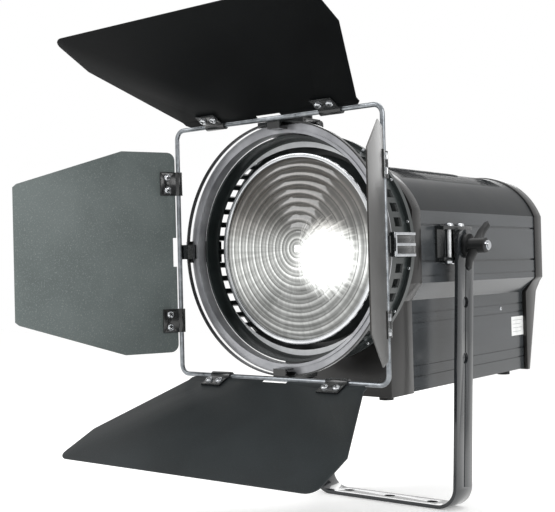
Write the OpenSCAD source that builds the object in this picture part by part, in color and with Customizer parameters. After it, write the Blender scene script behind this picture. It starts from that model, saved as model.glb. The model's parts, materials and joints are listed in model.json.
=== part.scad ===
// Studio fresnel spotlight: yoke, tilting lamp head and rotating barn doors.
// Millimetres, +Z up, the beam leaves towards -Y.
// The origin is the centre of the yoke's fixing hole, on the underside of its base.

/* [Yoke] */
// Height of the tilt axis above the yoke's underside
axis_height = 300; // [270:1:360]
// Width of the flat bar
bar_width = 38; // [30:1:46]
// Thickness of the flat bar
bar_thick = 4; // [3:0.5:6]
// Outer radius of the two bends
bend_radius = 25; // [14:1:30]
// Diameter of the centre fixing hole
fixing_hole = 13; // [8:0.5:14]
// Diameter of the plain holes in the base and arms
plain_hole = 13; // [8:0.5:14]
// Distance from the centre hole to each side hole in the base
base_hole_pitch = 58; // [40:1:66]
// Depth of the upper arm hole below the tilt axis
arm_hole_upper = 65; // [50:1:80]
// Depth of the lower arm hole below the tilt axis
arm_hole_lower = 129; // [110:1:150]

/* [Lamp head] */
// Nose-down angle of the head at rest
head_pitch = 4; // [0:1:20]
// Width of the housing at its side panels
body_width = 163; // [150:1:176]
// Width of the housing below the step in its side panels
skirt_width = 135; // [124:1:146]
// Length of the side panels
panel_length = 300; // [270:1:330]
// Distance from the tilt axis forward to the front end of the panels
panel_front = 74; // [66:1:80]
// Height of the arch above the tilt axis
arch_top = 96; // [90:1:104]
// Height of the side panels' top edge above the tilt axis
spring_height = 40; // [32:1:46]
// Depth of the housing's underside below the tilt axis
body_depth = 162; // [156:1:170]
// Thickness of the side panels
panel_wall = 4; // [3.5:0.5:6]
// Thickness of the arch cover
cover_wall = 4; // [3:0.5:5]
// How far the front and rear bezels stand proud of the panels
bezel_proud = 1.5; // [0.5:0.5:3]

/* [Lens and hood] */
// Radius of the fresnel lens
lens_radius = 99; // [86:1:100]
// Width of the lip that the lens clamp ring lays over the glass
lens_lip = 2; // [1:0.5:4]
// Number of steps in the lens
lens_steps = 10; // [8:1:20]
// Inner radius of the vented hood
hood_radius = 117; // [115:1:118]
// Number of vents round the hood
hood_vents = 48; // [24:1:52]

/* [Barn doors] */
// Side of the square wire frame between wire centres
frame_side = 270; // [264:1:320]
// Diameter of the frame's wire
wire_dia = 5; // [4:0.5:6]
// Reach of the two large leaves from their hinge
large_reach = 174; // [140:1:180]
// Reach of the two small leaves from their hinge
small_reach = 185; // [150:1:190]
// Thickness of the leaf sheet
leaf_thick = 1.2; // [0.8:0.1:2]
// Opening of the top leaf at rest, from straight ahead
top_open = 28; // [0:1:60]
// Opening of the bottom leaf at rest
bottom_open = 24; // [0:1:60]
// Opening of the left leaf at rest
left_open = 24; // [0:1:60]
// Opening of the right leaf at rest
right_open = 28; // [0:1:60]

/* [Hidden] */
$fn = 96;

// Clearances
gap = 0.3;          // between pieces that move past each other
run = 0.05;         // radial clearance of a pin or shaft in its bore
eps = 0.5;          // overshoot of a cut past the face that it opens

// Housing section
body_half = body_width / 2;
skirt_half = skirt_width / 2;
step_top = -41;     // height where the side panels start to step in
step_bottom = -60;  // height where the step ends
arch_rise = arch_top - spring_height;
arch_radius = (body_half * body_half + arch_rise * arch_rise) / (2 * arch_rise);
arch_centre = arch_top - arch_radius;
panel_rear = panel_length - panel_front;

// Tilt axis, brackets and arms
bracket_reach = 11.5;
bracket_out = body_half + bracket_reach;
washer_thick = 1.7;
arm_in = bracket_out + washer_thick + gap;
arm_out = arm_in + bar_thick;
stud_radius = 4.95;

// Lens, hood and accessory ring, from front to back
hood_wall = 2.5;
hood_front = -205;
hood_rear = -160;
lens_front = -193;
lens_depth = 12;
lens_clear = lens_radius - lens_lip;
cone_rear = -92;
clip_half = 12;
plate_inner = 124;
plate_outer = 131.5;
plate_front = -214.5;
plate_thick = 1.5;
collar_inner = hood_radius + hood_wall + 1.5;
wire_plane = -231;
wire_radius = wire_dia / 2;
frame_half = frame_side / 2;

// Light engine
rod_radius = 4;
rod_x = body_half - panel_wall - 7.5;
screw_z = 70;
screw_radius = 4;
sink_half = skirt_half - panel_wall - 3.5;
fan_half = 46;
bulkhead_thick = 4;
panel_plate_rear = panel_rear - 11;
panel_plate_front = panel_plate_rear - 4;
bulkhead_front = -panel_front - bulkhead_thick;
rear_face = panel_rear + 21;
reflector_depth = 40;

// ---- Placement helpers ----

// Head axes: origin on the tilt axis, -Y along the beam
module in_head() {
    translate([0, 0, axis_height])
        rotate([head_pitch, 0, 0])
            children();
}

// Extrude an X-Z outline from y0 to y1
module along_y(y0, y1) {
    translate([0, y1, 0])
        rotate([90, 0, 0])
            linear_extrude(height = y1 - y0)
                children();
}

// Extrude a Y-Z outline from x0 to x1
module along_x(x0, x1) {
    translate([x0, 0, 0])
        rotate([90, 0, 90])
            linear_extrude(height = x1 - x0)
                children();
}

// Turn a (radius, y) outline about the beam axis
module round_beam() {
    rotate([-90, 0, 0])
        rotate_extrude()
            children();
}

// A cylinder lying along Y
module rod_y(r, y0, y1, x = 0, z = 0) {
    translate([x, y0, z])
        rotate([-90, 0, 0])
            cylinder(r = r, h = y1 - y0);
}

// A cylinder lying along X
module rod_x_axis(r, x0, x1, y = 0, z = 0) {
    translate([x0, y, z])
        rotate([0, 90, 0])
            cylinder(r = r, h = x1 - x0);
}

// A block given by its lowest and highest corners
module block(low, high) {
    translate(low)
        cube(high - low);
}

// The right side as drawn, or its mirror image for the left
module side(right) {
    if (right) children();
    else mirror([1, 0, 0]) children();
}

// ---- Yoke ----

module yoke_outline(half, bottom, radius) {
    translate([-half + radius, bottom])
        square([2 * (half - radius), radius]);
    translate([-half, bottom + radius])
        square([2 * half, axis_height + bar_width - bottom - radius]);
    for (x = [-1, 1])
        translate([x * (half - radius), bottom + radius])
            circle(r = radius);
}

module yoke() {
    groove_width = 2.2;
    groove_depth = 0.8;
    color("#6f7376")
    difference() {
        intersection() {
            along_y(-bar_width / 2, bar_width / 2)
                difference() {
                    yoke_outline(arm_out, 0, bend_radius);
                    yoke_outline(arm_in, bar_thick, bend_radius - bar_thick);
                }
            union() {
                block([-arm_out, -bar_width / 2, -eps], [arm_out, bar_width / 2, axis_height]);
                rod_x_axis(bar_width / 2, -arm_out, arm_out, 0, axis_height);
            }
        }
        for (x = [-1, 0, 1])
            translate([x * base_hole_pitch, 0, -eps])
                cylinder(d = x == 0 ? fixing_hole : plain_hole, h = bar_thick + 2 * eps);
        for (right = [true, false])
            side(right) {
                rod_x_axis(stud_radius + run, arm_in - eps, arm_out + eps, 0, axis_height);
                for (drop = [arm_hole_upper, arm_hole_lower])
                    rod_x_axis(plain_hole / 2, arm_in - eps, arm_out + eps, 0, axis_height - drop);
                block([arm_out - groove_depth, -groove_width / 2, bend_radius],
                      [arm_out + eps, groove_width / 2, axis_height - bar_width / 2 - 6]);
            }
    }
}

// ---- Tilt clamps ----

knob_in = arm_out + gap;
knob_hub_radius = 8.5;
knob_disc_radius = 14;
knob_disc_thick = 5;
knob_hub_end = knob_in + 25;
wing_reach = 38;
wing_thick = 5;

// One wing in the plane of the knob's axis, drawn as (radius, x)
module knob_wing(turn) {
    rotate([turn, 0, 0])
        rotate([90, 0, 0])
            translate([0, 0, -wing_thick / 2])
                linear_extrude(height = wing_thick)
                    polygon([[knob_in + 7, 5], [knob_in + 8, 22],
                             [knob_in + 12, wing_reach - 2], [knob_in + 16, wing_reach],
                             [knob_in + 18, wing_reach - 4], [knob_in + 16, 24],
                             [knob_in + 17, 5]]);
}

module knob(right) {
    color("#151817")
    in_head() side(right)
        difference() {
            union() {
                rod_x_axis(knob_disc_radius, knob_in, knob_in + knob_disc_thick);
                rod_x_axis(knob_hub_radius, knob_in, knob_hub_end);
                for (turn = [0, 180]) knob_wing(turn - 45);
            }
            rod_x_axis(stud_radius + run, knob_in - eps, knob_hub_end + eps);
        }
}

// Chrome stud with a domed end cap; it screws into the tilt bracket
module knob_stud(right) {
    cap_radius = 5.8;
    color("#c9ccd0")
    in_head() side(right) {
        rod_x_axis(stud_radius, body_half + 2, knob_hub_end);
        rod_x_axis(cap_radius, knob_hub_end, knob_hub_end + 3);
        rod_x_axis(cap_radius - 1.5, knob_hub_end + 3, knob_hub_end + 4.5);
    }
}

module friction_washers() {
    color("#2a2a2c")
    in_head() for (right = [true, false]) side(right)
        difference() {
            rod_x_axis(18, bracket_out, bracket_out + washer_thick);
            rod_x_axis(stud_radius + run, bracket_out - eps, bracket_out + washer_thick + eps);
        }
}

bracket_front = -41;
bracket_rear = 27;
web_front = -14;
bracket_top = 23;
bracket_bottom = -17;
bracket_plate = 4;
bracket_screw_radius = 2.5;
bracket_screw_y = [-18, 8];
bracket_head_radius = 5.2;
bracket_head_height = 3.5;
bracket_screw_x = body_half + bracket_reach / 2;

// Box channel clamped to the side rails by vertical screws
module tilt_bracket(right) {
    color("#17191a")
    in_head() side(right)
        difference() {
            union() {
                block([body_half, bracket_front, bracket_top - bracket_plate],
                      [bracket_out, bracket_rear, bracket_top]);
                block([body_half, bracket_front, bracket_bottom],
                      [bracket_out, bracket_rear, bracket_bottom + bracket_plate]);
                block([body_half, bracket_front, bracket_bottom],
                      [body_half + 3, bracket_rear, bracket_top]);
                block([bracket_out - 2.5, web_front, bracket_bottom],
                      [bracket_out, bracket_rear - 6, bracket_top]);
                rod_x_axis(9.5, body_half, bracket_out);
            }
            rod_x_axis(stud_radius + run, body_half + 1, bracket_out + eps);
            for (y = bracket_screw_y)
                translate([bracket_screw_x, y, bracket_bottom - eps])
                    cylinder(r = bracket_screw_radius + run, h = bracket_top - bracket_bottom + 2 * eps);
        }
}

// Vertical clamp screws with pan heads above and nuts below
module bracket_screws() {
    color("#c9ccd0")
    in_head() for (right = [true, false]) side(right)
        for (y = bracket_screw_y)
            translate([bracket_screw_x, y, 0]) {
                translate([0, 0, bracket_bottom])
                    cylinder(r = bracket_screw_radius, h = bracket_top - bracket_bottom);
                translate([0, 0, bracket_top])
                    cylinder(r = bracket_head_radius, h = bracket_head_height);
                translate([0, 0, bracket_bottom - bracket_head_height])
                    cylinder(r = bracket_head_radius, h = bracket_head_height, $fn = 6);
            }
}

// ---- Housing ----

// Housing section, shrunk by d all round
module body_section(d) {
    half = body_half - d;
    low_half = skirt_half - d;
    intersection() {
        translate([0, arch_centre])
            circle(r = arch_radius - d);
        translate([-half, 0])
            square([2 * half, arch_top - d]);
    }
    polygon([[-half, spring_height / 2], [-half, step_top], [-low_half, step_bottom],
             [-low_half, -body_depth + d], [low_half, -body_depth + d],
             [low_half, step_bottom], [half, step_top], [half, spring_height / 2]]);
}

groove_heights = [-33, -74.5, -85.5, -133.5, -145.5];
rail_heights = [24, -17];

// Extruded side panel with two clamp rails and shallow trim grooves
module side_panel(right) {
    inner = body_half - panel_wall;
    low_inner = skirt_half - panel_wall;
    rail_depth = 2.2;
    rail_slot = 2.4;
    groove_depth = 1.2;
    groove_slot = 1.6;
    color("#6c6e70")
    in_head() side(right)
        along_y(-panel_front, panel_rear)
            difference() {
                polygon([[body_half, spring_height], [body_half, step_top],
                         [skirt_half, step_bottom], [skirt_half, -body_depth],
                         [low_inner, -body_depth], [low_inner, step_bottom],
                         [inner, step_top], [inner, spring_height]]);
                for (z = rail_heights)
                    translate([body_half - rail_depth, z - rail_slot / 2])
                        square([rail_depth + eps, rail_slot]);
                for (z = groove_heights) {
                    face = z > step_top ? body_half : skirt_half;
                    translate([face - groove_depth, z - groove_slot / 2])
                        square([groove_depth + eps, groove_slot]);
                }
            }
}

louvre_pitch = 4.2;
louvre_width = 1.7;
louvre_depth = 1.6;
louvre_first = -58;
louvre_last = 196;
louvre_half_angle = 36;

// Arched heat cover; its crown is ribbed across
module arch_cover() {
    color("#4c5357")
    in_head() difference() {
        along_y(-panel_front, panel_rear)
            difference() {
                translate([0, arch_centre]) circle(r = arch_radius);
                translate([0, arch_centre]) circle(r = arch_radius - cover_wall);
                translate([-2 * body_half, spring_height - 4 * body_half])
                    square([4 * body_half, 4 * body_half]);
            }
        for (y = [louvre_first : louvre_pitch : louvre_last])
            translate([0, y, arch_centre])
                rotate([-90, -90 - louvre_half_angle, 0])
                    rotate_extrude(angle = 2 * louvre_half_angle)
                        translate([arch_radius - louvre_depth, 0])
                            square([louvre_depth + 2, louvre_width]);
    }
}

module bottom_plate() {
    half = skirt_half - panel_wall;
    color("#5c5e60")
    in_head()
        block([-half, -panel_front, -body_depth], [half, panel_rear, -body_depth + panel_wall]);
}

bezel_wall = 3;
bezel_front = -92;
chin_front = -121;
chin_top = -20;
chin_knee = -80;

// Side view of the front bezel, grown forward by d: flat above, chin below
module bezel_profile(d) {
    low = -body_depth - 5;
    polygon([[-panel_front, arch_top + 5], [bezel_front + d, arch_top + 5], [bezel_front + d, chin_top],
             [chin_front + d, chin_knee], [chin_front + d, low], [-panel_front, low]]);
}

module front_bezel() {
    color("#45423e")
    in_head() difference() {
        intersection() {
            along_y(-140, -panel_front) body_section(-bezel_proud);
            along_x(-100, 100) bezel_profile(0);
        }
        intersection() {
            along_y(-140, -panel_front + eps) body_section(bezel_wall - bezel_proud);
            along_x(-100, 100)
                translate([bezel_wall, 0]) bezel_profile(0);
        }
        cone_solid(gap);
    }
}

cone_front_radius = hood_radius + hood_wall + 3.5;
cone_rear_radius = min(body_half, arch_top) - bezel_wall - eps;
cone_wall = 3;

module cone_solid(d) {
    round_beam()
        polygon([[0, hood_rear - 1], [cone_front_radius + d, hood_rear - 1],
                 [cone_front_radius + d, hood_rear + 4], [cone_rear_radius + d, cone_rear],
                 [cone_rear_radius + d, cone_rear + 8], [0, cone_rear + 8]]);
}

// Tapered front casting between the hood and the bezel
module front_cone() {
    color("#30363a")
    in_head() round_beam()
        polygon([[cone_front_radius, hood_rear], [cone_front_radius, hood_rear + 4],
                 [cone_rear_radius, cone_rear], [cone_rear_radius, bulkhead_front],
                 [cone_rear_radius - cone_wall, bulkhead_front],
                 [cone_rear_radius - cone_wall, cone_rear],
                 [cone_front_radius - cone_wall, hood_rear + 4],
                 [cone_front_radius - 12, hood_rear + 4], [cone_front_radius - 12, hood_rear]]);
}

vent_front = -185;
vent_rear = -172;
vent_width = 9.5;

// Vented hood with a stepped inner lip in front and a mounting flange behind
module hood() {
    flange_radius = cone_front_radius + 0.5;
    lip_radius = hood_radius - 3;
    color("#101314")
    in_head() difference() {
        round_beam()
            polygon([[hood_radius, hood_front], [hood_radius + hood_wall, hood_front],
                     [hood_radius + hood_wall, hood_rear - 3], [flange_radius, hood_rear - 3],
                     [flange_radius, hood_rear], [hood_radius, hood_rear],
                     [hood_radius, -188], [lip_radius, -188], [lip_radius, -189.5], [hood_radius, -189.5]]);
        for (i = [0 : hood_vents - 1])
            rotate([0, 360 * (i + 0.5) / hood_vents, 0])
                block([-vent_width / 2, vent_front, hood_radius - 2],
                      [vent_width / 2, vent_rear, hood_radius + hood_wall + 2]);
    }
}

holder_radius = lens_radius + 3;

// Lens barrel on a flange that closes the back of the hood
module lens_holder() {
    color("#16191a")
    in_head() round_beam()
        polygon([[lens_radius + gap, lens_front], [holder_radius, lens_front],
                 [holder_radius, hood_rear - 3], [hood_radius - run, hood_rear - 3],
                 [hood_radius - run, hood_rear], [lens_radius - 4, hood_rear],
                 [lens_radius - 4, lens_front + lens_depth], [lens_radius + gap, lens_front + lens_depth]]);
}

module lens_ring() {
    color("#dfe1e4")
    in_head() round_beam()
        polygon([[lens_clear, lens_front - 2], [holder_radius - 0.5, lens_front - 2],
                 [holder_radius, lens_front - 1.5], [holder_radius, lens_front], [lens_clear, lens_front]]);
}

step_pitch = lens_clear / lens_steps;

// Front height of the lens within step i: every step rises towards the centre
function lens_y(i) = lens_front + 4.2 - 3.2 * cos(85 * i / lens_steps);

// Stepped lens: flat behind, concentric prisms in front
module fresnel_lens() {
    color("#dfe6ea", 0.35)
    in_head() round_beam()
        polygon(concat(
            [[0, lens_front + lens_depth], [0, lens_y(0) - 1]],
            [for (i = [1 : lens_steps], t = [0, 1])
                [i * step_pitch - (1 - t) * 0.9, t == 0 ? lens_y(i) + 1.6 : lens_y(i) - 1]],
            [[lens_radius - 1, lens_front + 3.2], [lens_radius, lens_front + 4.2],
             [lens_radius, lens_front + lens_depth]]));
}

skirt_bezel_half = skirt_half + 5.5;
skirt_lap = panel_rear - 11;
rear_taper = panel_rear - 5;

// Rear bezel: a collar round the panels' ends that tapers forward below
module rear_bezel() {
    low = -body_depth - 5;
    color("#45423e")
    in_head() difference() {
        union() {
            along_y(panel_rear, rear_face) body_section(-bezel_proud);
            intersection() {
                along_y(skirt_lap, rear_face)
                    polygon([[-skirt_bezel_half, -body_depth - bezel_proud],
                             [skirt_bezel_half, -body_depth - bezel_proud],
                             [skirt_bezel_half, step_bottom], [body_half, step_top],
                             [-body_half, step_top], [-skirt_bezel_half, step_bottom]]);
                along_x(-100, 100)
                    polygon([[panel_rear, step_top], [skirt_lap, step_bottom], [skirt_lap, low],
                             [rear_face, low], [rear_face, step_top]]);
            }
        }
        // Room for the panels' ends
        along_y(skirt_lap - eps, panel_rear) body_section(-gap);
        along_y(panel_rear - eps, rear_face + eps) body_section(bezel_wall);
        // Rear face slopes forward below the step
        along_x(-100, 100)
            polygon([[rear_face, step_bottom], [rear_face + 5, step_bottom],
                     [rear_face + 5, low], [rear_taper, low]]);
    }
}

// ---- Rear panel and its controls ----

display_x = -26;
display_z = 34;
display_width = 56;
display_height = 26;
button_radius = 4.5;
button_z = 34;
button_first_x = 16;
button_pitch = 14;
inlet_x = -38;
inlet_z = -115;
inlet_width = 28;
inlet_height = 21;
socket_radius = 12;
socket_x = [6, 40];
socket_z = -115;
switch_x = -38;
switch_z = -76;
switch_width = 12.4;
switch_radius = 9;
vent_slots = 6;
vent_slot_pitch = 9;
vent_slot_height = 4;
vent_first_z = -44;

// A square-cornered cut through the rear panel about (x, z)
module panel_cut(x, z, width, height) {
    block([x - width / 2, panel_plate_front - eps, z - height / 2],
          [x + width / 2, panel_plate_rear + eps, z + height / 2]);
}

module rear_panel() {
    color("#1d1f20")
    in_head() difference() {
        along_y(panel_plate_front, panel_plate_rear) body_section(panel_wall);
        panel_cut(display_x, display_z, display_width, display_height);
        for (i = [0 : 3])
            rod_y(button_radius + gap, panel_plate_front - eps, panel_plate_rear + eps,
                  button_first_x + i * button_pitch, button_z);
        rod_y(screw_radius + run, panel_plate_front - eps, panel_plate_rear + eps, 0, screw_z);
        for (x = [-1, 1])
            rod_y(rod_radius, panel_plate_front - eps, panel_plate_front + 2, x * rod_x, 0);
        for (i = [0 : vent_slots - 1])
            panel_cut(0, vent_first_z + vent_slot_pitch * i + vent_slot_height / 2, 92, vent_slot_height);
        panel_cut(inlet_x, inlet_z, inlet_width, inlet_height);
        for (x = socket_x)
            rod_y(socket_radius, panel_plate_front - eps, panel_plate_rear + eps, x, socket_z);
        panel_cut(switch_x, switch_z, switch_width + 2 * gap, 2 * switch_radius + 4 * gap);
    }
}

module display_window() {
    color("#0c1418")
    in_head()
        block([display_x - display_width / 2, panel_plate_front, display_z - display_height / 2],
              [display_x + display_width / 2, panel_plate_rear - 0.5, display_z + display_height / 2]);
}

board_front = panel_plate_front - 14;
board_rear = board_front + 1.6;

// Control board on four posts, with the display and key switches on it
module control_board() {
    low_z = button_z - 20;
    high_z = button_z + 20;
    color("#1f5a38")
    in_head() {
        block([-58, board_front, low_z], [64, board_rear, high_z]);
        block([display_x - display_width / 2 + 2, board_rear, display_z - display_height / 2 + 1],
              [display_x + display_width / 2 - 2, panel_plate_front, display_z + display_height / 2 - 1]);
        for (x = [-56, 62], z = [low_z + 3, high_z - 3])
            rod_y(2, board_rear, panel_plate_front, x, z);
        for (i = [0 : 3])
            rod_y(3, board_rear, board_rear + 6, button_first_x + i * button_pitch, button_z);
    }
}

// Push button number i: its flange rests behind the panel
module push_button(i) {
    color("#2b2d2f")
    in_head() {
        x = button_first_x + i * button_pitch;
        rod_y(button_radius, panel_plate_front - gap, panel_plate_rear + 2.5, x, button_z);
        rod_y(button_radius + 1.3, panel_plate_front - gap - 1.6, panel_plate_front - gap, x, button_z);
    }
}

inlet_depth = 14;

module power_inlet() {
    color("#141516")
    in_head() translate([inlet_x, 0, inlet_z])
        difference() {
            union() {
                block([-inlet_width / 2, panel_plate_rear - 18, -inlet_height / 2],
                      [inlet_width / 2, panel_plate_rear, inlet_height / 2]);
                block([-inlet_width / 2 - 3, panel_plate_rear, -inlet_height / 2 - 3],
                      [inlet_width / 2 + 3, panel_plate_rear + 2, inlet_height / 2 + 3]);
            }
            block([-inlet_width / 2 + 2, panel_plate_rear - inlet_depth, -inlet_height / 2 + 2],
                  [inlet_width / 2 - 2, panel_plate_rear + 2 + eps, inlet_height / 2 - 2]);
        }
}

module data_sockets() {
    color("#9a9da0")
    in_head() for (x = socket_x)
        translate([x, 0, socket_z])
            difference() {
                union() {
                    rod_y(socket_radius, panel_plate_rear - 16, panel_plate_rear);
                    block([-13, panel_plate_rear, -15.5], [13, panel_plate_rear + 2, 15.5]);
                }
                rod_y(socket_radius - 2.5, panel_plate_rear - 12, panel_plate_rear + 2 + eps);
            }
}

// Rocker that turns about an axis along X
module power_switch() {
    color("#8a1f1c")
    in_head()
        translate([switch_x, (panel_plate_front + panel_plate_rear) / 2, switch_z])
            along_x(-switch_width / 2, switch_width / 2)
                intersection() {
                    circle(r = switch_radius);
                    polygon([[-5, -9], [3.5, -9], [6, 0], [8, 9], [-5, 9]]);
                }
}

foot_radius = 8;
foot_y_front = -104;
foot_y_rear = panel_rear - 40;
foot_bottom = -body_depth - bezel_proud - 4.5;

module rubber_feet() {
    color("#0c0c0c")
    in_head() for (x = [-1, 1]) {
        translate([x * (skirt_half - 16), foot_y_front, foot_bottom])
            cylinder(r = foot_radius, h = 4.5);
        translate([x * (skirt_half - 16), foot_y_rear, foot_bottom])
            cylinder(r = foot_radius, h = -body_depth - foot_bottom);
    }
}

// ---- Accessory holder ----

clip_inner = hood_radius + hood_wall;
clip_outer = 136.5;
clip_front = -217;
clip_rear = -178;
slot_front = plate_front - 0.7;
slot_rear = plate_front + plate_thick + 0.7;
hook_radius = 128.8;
slot_radius = plate_outer + 0.8;
collar_outer = collar_inner + 3;

// Hook that carries the door ring's plate, standing on the hood at +X
module accessory_clip() {
    translate([0, 0, -clip_half])
        linear_extrude(height = 2 * clip_half)
                polygon([[clip_inner, hood_front + 3], [collar_outer + 1, hood_front + 3],
                         [collar_outer + 1, slot_rear], [slot_radius, slot_rear],
                         [slot_radius, slot_front], [hook_radius, slot_front],
                         [hook_radius, clip_front], [clip_outer, clip_front],
                         [clip_outer, clip_rear], [clip_inner, clip_rear]]);
    // Ribs across the clip's outer face
    for (z = [-clip_half + 1, -1.5, clip_half - 4])
        block([clip_outer, clip_front + 2, z], [clip_outer + 1.5, clip_rear - 4, z + 3]);
}

module accessory_clips() {
    color("#141718")
    in_head() for (turn = [0, 90, 180])
        rotate([0, turn, 0])
            accessory_clip();
}

hinge_y = -176;
hinge_z = 131.5;
latch_half = 19.5;
latch_wide = 30;
latch_low = slot_radius + 0.5;
latch_high = latch_low + 2;
pin_radius = 1.5;

// Fixed part of the top latch: a seat for the plate and two hinge ears
module latch_base() {
    ear_in = latch_half + gap;
    ear_out = ear_in + 4;
    color("#141718")
    in_head() difference() {
        union() {
            block([-ear_out, hood_front + 3, clip_inner], [ear_out, hood_rear - 6, hinge_z - 4.5]);
            block([-ear_out, slot_rear, collar_outer + 1], [ear_out, hood_front + 3, slot_radius]);
            for (right = [true, false]) side(right) {
                block([ear_in, hinge_y - 4, clip_inner], [ear_out, hinge_y + 4, hinge_z]);
                rod_x_axis(4, ear_in, ear_out, hinge_y, hinge_z);
            }
        }
        rod_x_axis(pin_radius + run, -ear_out - eps, ear_out + eps, hinge_y, hinge_z);
    }
}

// Hinged plate with a hook over the door ring and a thumb flag
module top_latch() {
    barrel = 3;
    color("#1f2224")
    in_head() {
        rod_x_axis(pin_radius, -latch_half - 4, latch_half + 4, hinge_y, hinge_z);
        rod_x_axis(barrel, -latch_half, latch_half, hinge_y, hinge_z);
        block([-latch_half, hinge_y - 10, latch_low], [latch_half, hinge_y, latch_high]);
        block([-latch_wide, clip_front, latch_low], [latch_wide, hinge_y - 10, latch_high]);
        block([-latch_wide, clip_front, hook_radius], [latch_wide, slot_front, latch_low]);
        block([-latch_wide, hood_front + 3, latch_high], [latch_wide, hood_front + 5, 143]);
    }
}

// ---- Light engine ----

beam_hole = 62;

// Plate behind the front bezel that carries the rods, the screw and the cone
module front_bulkhead() {
    color("#3b3e40")
    in_head() difference() {
        along_y(bulkhead_front, -panel_front) body_section(bezel_wall - bezel_proud);
        rod_y(beam_hole, bulkhead_front - eps, -panel_front + eps);
        for (x = [-1, 1])
            rod_y(rod_radius, -panel_front - 2, -panel_front + eps, x * rod_x, 0);
        rod_y(screw_radius + run, -panel_front - 2, -panel_front + eps, 0, screw_z);
    }
}

module guide_rods() {
    color("#b9bcc0")
    in_head() for (x = [-1, 1])
        rod_y(rod_radius, -panel_front - 2, panel_plate_front + 2, x * rod_x, 0);
}

knob_front = panel_plate_rear + gap;
zoom_knob_radius = 16;
zoom_knob_depth = 20;

module lead_screw() {
    color("#a9acb0")
    in_head() rod_y(screw_radius, -panel_front - 2 + gap, knob_front + zoom_knob_depth - 4, 0, screw_z);
}

module zoom_knob() {
    flutes = 12;
    color("#1a1c1d")
    in_head() translate([0, 0, screw_z]) difference() {
        union() {
            rod_y(zoom_knob_radius, knob_front, knob_front + zoom_knob_depth);
            rod_y(zoom_knob_radius - 2, knob_front + zoom_knob_depth, knob_front + zoom_knob_depth + 1.5);
        }
        rod_y(screw_radius + run, knob_front - eps, knob_front + zoom_knob_depth - 4);
        for (i = [0 : flutes - 1])
            rotate([0, 360 * i / flutes, 0])
                rod_y(2, knob_front + 4, knob_front + zoom_knob_depth + 3, zoom_knob_radius + 0.8);
    }
}

plate_half = body_half - panel_wall - 1.5;
window_half = 42;

// Carriage that runs on the rods and is driven by the lead screw
module carriage_plate() {
    color("#8d9094")
    in_head() difference() {
        union() {
            block([-plate_half, -5, -22], [plate_half, 0, 22]);
            block([-window_half - 10, -5, -window_half - 10], [window_half + 10, 0, screw_z - 4]);
            block([-13, -5, screw_z - 10], [13, 0, screw_z + 12]);
            rod_y(9, 0, 10, 0, screw_z);
        }
        block([-window_half, -5 - eps, -window_half], [window_half, eps, window_half]);
        for (x = [-1, 1])
            rod_y(rod_radius + run, -5 - eps, eps, x * rod_x, 0);
        rod_y(screw_radius + run, -5 - eps, 10 + eps, 0, screw_z);
    }
}

sink_base = 8;
sink_rear = 55;
fin_count = 16;
fin_thick = 2.5;

module heat_sink() {
    fin_step = (2 * sink_half - fin_thick) / (fin_count - 1);
    color("#a5a8ab")
    in_head() {
        block([-sink_half, 0, -sink_half], [sink_half, sink_base, sink_half]);
        for (i = [0 : fin_count - 1]) {
            x = -sink_half + i * fin_step;
            block([x, sink_base, -sink_half], [x + fin_thick, sink_rear, sink_half]);
        }
    }
}

chip_radius = 12;
board_half = 39;
led_board = 3;

module led_module() {
    color("#e8d36a")
    in_head() {
        block([-board_half, -led_board, -board_half], [board_half, 0, board_half]);
        rod_y(chip_radius, -led_board - 1.5, -led_board);
    }
}

module reflector() {
    mouth = 45;
    throat = chip_radius + 2;
    wall = 1.5;
    color("#d9dbde")
    in_head() round_beam()
        polygon([[throat, -led_board], [throat + 8, -led_board], [throat + 8, -led_board - 2],
                 [throat + wall, -led_board - 2], [throat + 14, -led_board - 14],
                 [mouth, -led_board - reflector_depth], [mouth - wall, -led_board - reflector_depth],
                 [throat + 12.5, -led_board - 14.5], [throat, -led_board - 2]]);
}

fan_front = sink_rear;
fan_depth = 25;
fan_bore = 43.5;
fan_hub = 18;
fan_pin = 2;

module fan_frame() {
    rear = fan_front + fan_depth;
    color("#202223")
    in_head() {
        difference() {
            block([-fan_half, fan_front, -fan_half], [fan_half, rear, fan_half]);
            rod_y(fan_bore, fan_front - eps, rear + eps);
        }
        rod_y(fan_hub - 2, rear - 3, rear);
        rod_y(fan_pin, fan_front + 4, rear - 3);
        for (turn = [0, 90, 180, 270])
            rotate([0, turn + 45, 0])
                block([fan_hub - 4, rear - 3, -2.5], [fan_bore + 1, rear, 2.5]);
    }
}

module fan_rotor() {
    blades = 7;
    front = fan_front + 5;
    rear = fan_front + fan_depth - 3 - gap;
    color("#17191a")
    in_head() difference() {
        union() {
            rod_y(fan_hub, front, rear);
            for (i = [0 : blades - 1])
                rotate([0, 360 * i / blades, 0])
                    translate([fan_hub - 1, (front + rear) / 2, 0])
                        rotate([35, 0, 0])
                            block([0, -7, -1], [fan_bore - fan_hub - 0.5, 7, 1]);
        }
        rod_y(fan_pin + run, front - eps, rear + eps);
    }
}

module driver_box() {
    driver_half = skirt_half - panel_wall - 7.5;
    color("#b4b7ba")
    in_head()
        block([-driver_half, -58, -body_depth + panel_wall], [driver_half, 148, -88]);
}

// ---- Barn doors ----

seam_width = 1.2;

// Collar and split face plate that the holder's hooks carry
module door_ring() {
    plate_rear = plate_front + plate_thick;
    color("#a9a9ae")
    in_head() {
        round_beam()
            polygon([[collar_inner, plate_front - 1.5], [collar_outer, plate_front - 1.5],
                     [collar_outer, hood_front + 1.5], [collar_inner, hood_front + 1.5]]);
        difference() {
            round_beam()
                polygon([[collar_outer, plate_front], [plate_outer, plate_front],
                         [plate_outer, plate_rear], [collar_outer, plate_rear]]);
            for (z = [-1, 1])
                block([-seam_width / 2, plate_front - eps, min(z * (plate_inner + 0.5), z * 140)],
                      [seam_width / 2, plate_rear + eps, max(z * (plate_inner + 0.5), z * 140)]);
        }
    }
}

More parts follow.
